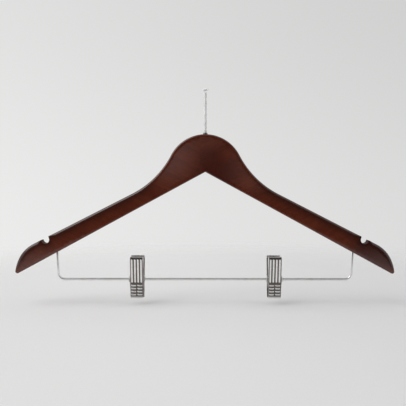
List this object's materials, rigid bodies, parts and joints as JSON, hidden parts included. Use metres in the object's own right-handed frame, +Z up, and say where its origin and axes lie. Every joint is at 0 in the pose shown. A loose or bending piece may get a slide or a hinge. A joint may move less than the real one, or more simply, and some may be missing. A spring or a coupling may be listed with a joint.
{
  "type": "clothes hanger",
  "caption": "Flat dark wooden coat hanger with a straight security pin, strap notches, a wire trouser bar and sliding sprung clips.",
  "frame": {"origin": "on the pin's axis at the underside of its head, where the pin hangs in its ring", "axes": "+X along the shoulders to the viewer's right, +Y to the back, +Z up along the pin"},
  "size_m": [0.4448, 0.0204, 0.2446],
  "materials": {
    "mahogany_lacquer": "dark mahogany stain under semi-gloss lacquer",
    "chrome_plate": "bright nickel-chrome plate",
    "dark_nickel": "dark tarnished nickel",
    "spring_steel": "drawn wire, oiled",
    "grip_rubber": "matt soft rubber"
  },
  "bodies": {
    "hanger": {"left_arm": "mahogany_lacquer", "right_arm": "mahogany_lacquer", "pin_sleeve": "dark_nickel", "trouser_bar": "chrome_plate"},
    "pin": {"hanging_pin": "chrome_plate", "pin_retaining_ring": "spring_steel"},
    "left_clip": {"left_clip_pivot_tube": "chrome_plate"},
    "left_front_jaw": {"left_clip_front_jaw": "chrome_plate", "left_clip_front_pad": "grip_rubber", "left_clip_spring": "spring_steel"},
    "left_back_jaw": {"left_clip_back_jaw": "chrome_plate", "left_clip_back_pad": "grip_rubber"},
    "right_clip": {"right_clip_pivot_tube": "chrome_plate"},
    "right_front_jaw": {"right_clip_front_jaw": "chrome_plate", "right_clip_front_pad": "grip_rubber", "right_clip_spring": "spring_steel"},
    "right_back_jaw": {"right_clip_back_jaw": "chrome_plate", "right_clip_back_pad": "grip_rubber"}
  },
  "joints": [
    {"name": "pin_swivel", "type": "hinge", "parent": "hanger", "child": "pin", "pos_m": [0, 0, 0], "axis": [0, 0, 1], "continuous": true},
    {"name": "left_clip_slide", "type": "slide", "parent": "hanger", "child": "left_clip", "axis": [1, 0, 0], "range_m": [-0.0743, 0.0682]},
    {"name": "left_clip_swing", "type": "hinge", "parent": "left_clip", "child": "left_front_jaw", "pos_m": [-0.0802, 0, -0.2215], "axis": [1, 0, 0], "continuous": true},
    {"name": "left_clip_open", "type": "hinge", "parent": "left_front_jaw", "child": "left_back_jaw", "pos_m": [-0.0802, 0, -0.2215], "axis": [1, 0, 0], "range_deg": [0, 26], "stiffness_Nm_per_rad": 0.06, "springref_deg": -18.91, "deforming": ["left_clip_spring"]},
    {"name": "right_clip_slide", "type": "slide", "parent": "hanger", "child": "right_clip", "axis": [1, 0, 0], "range_m": [-0.0698, 0.0727]},
    {"name": "right_clip_swing", "type": "hinge", "parent": "right_clip", "child": "right_front_jaw", "pos_m": [0.0818, 0, -0.2215], "axis": [1, 0, 0], "continuous": true},
    {"name": "right_clip_open", "type": "hinge", "parent": "right_front_jaw", "child": "right_back_jaw", "pos_m": [0.0818, 0, -0.2215], "axis": [1, 0, 0], "range_deg": [0, 26], "stiffness_Nm_per_rad": 0.06, "springref_deg": -18.91, "deforming": ["right_clip_spring"]}
  ]
}
